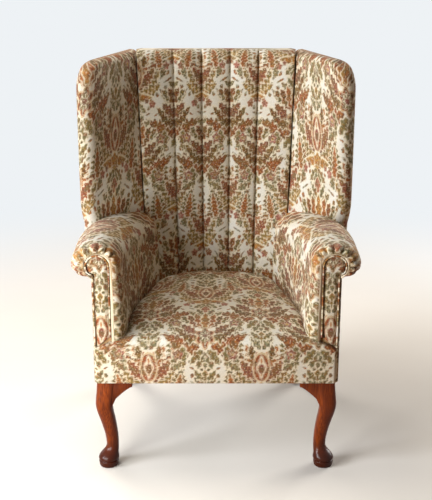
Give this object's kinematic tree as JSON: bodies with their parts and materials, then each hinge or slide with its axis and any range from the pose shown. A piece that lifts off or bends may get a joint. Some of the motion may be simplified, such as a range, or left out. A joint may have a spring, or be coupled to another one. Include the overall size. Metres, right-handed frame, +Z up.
{
  "type": "wing armchair",
  "caption": "Upholstered wing armchair with a fluted barrel back, rolled pleated arms, a tight crowned seat and cabriole front legs.",
  "frame": {"origin": "middle of the chair's footprint, on the floor", "axes": "+Z up, -Y the way the sitter faces, +X to the right of someone looking at its front"},
  "size_m": [0.7952, 0.7272, 1.0779],
  "materials": {
    "damask": "woven cream cloth with a rust, olive and mauve floral damask",
    "piping": "covered cord",
    "mahogany": "red brown stain, satin polish",
    "beech": "planed, unfinished",
    "jute": "coarse jute",
    "spring_steel": "drawn wire",
    "black_cloth": "thin black lining"
  },
  "bodies": {
    "root": {"front_seat_rail": "beech", "back_seat_rail": "beech", "top_rail": "beech", "stuffing_rail": "beech", "left_seat_rail": "beech", "right_seat_rail": "beech", "left_front_corner_block": "beech", "right_front_corner_block": "beech", "left_rear_corner_block": "beech", "right_rear_corner_block": "beech", "left_arm_post": "beech", "right_arm_post": "beech", "left_arm_rail": "beech", "right_arm_rail": "beech", "left_wing_post": "beech", "right_wing_post": "beech", "left_wing_rail": "beech", "right_wing_rail": "beech", "left_front_leg": "mahogany", "right_front_leg": "mahogany", "left_front_knee_ear": "mahogany", "right_front_knee_ear": "mahogany", "left_side_knee_ear": "mahogany", "right_side_knee_ear": "mahogany", "left_rear_leg": "mahogany", "right_rear_leg": "mahogany", "seat_strap_long_1": "jute", "seat_strap_long_2": "jute", "seat_strap_long_3": "jute", "seat_strap_cross_1": "jute", "seat_strap_cross_2": "jute", "seat_strap_cross_3": "jute", "seat_hessian": "jute", "back_strap_1": "jute", "back_strap_2": "jute", "seat_spring_1": "spring_steel", "seat_spring_2": "spring_steel", "seat_spring_3": "spring_steel", "seat_spring_4": "spring_steel", "seat_spring_5": "spring_steel", "seat_spring_6": "spring_steel", "seat_spring_7": "spring_steel", "seat_spring_8": "spring_steel", "seat_spring_9": "spring_steel", "seat_pad": "damask", "inside_back": "damask", "outside_back": "damask", "left_wing_pad": "damask", "right_wing_pad": "damask", "left_arm_pad": "damask", "right_arm_pad": "damask", "left_arm_facing": "damask", "right_arm_facing": "damask", "left_outside_arm": "damask", "right_outside_arm": "damask", "left_outside_wing": "damask", "right_outside_wing": "damask", "left_arm_piping": "piping", "right_arm_piping": "piping", "bottoming_cloth": "black_cloth"}
  },
  "joints": []
}
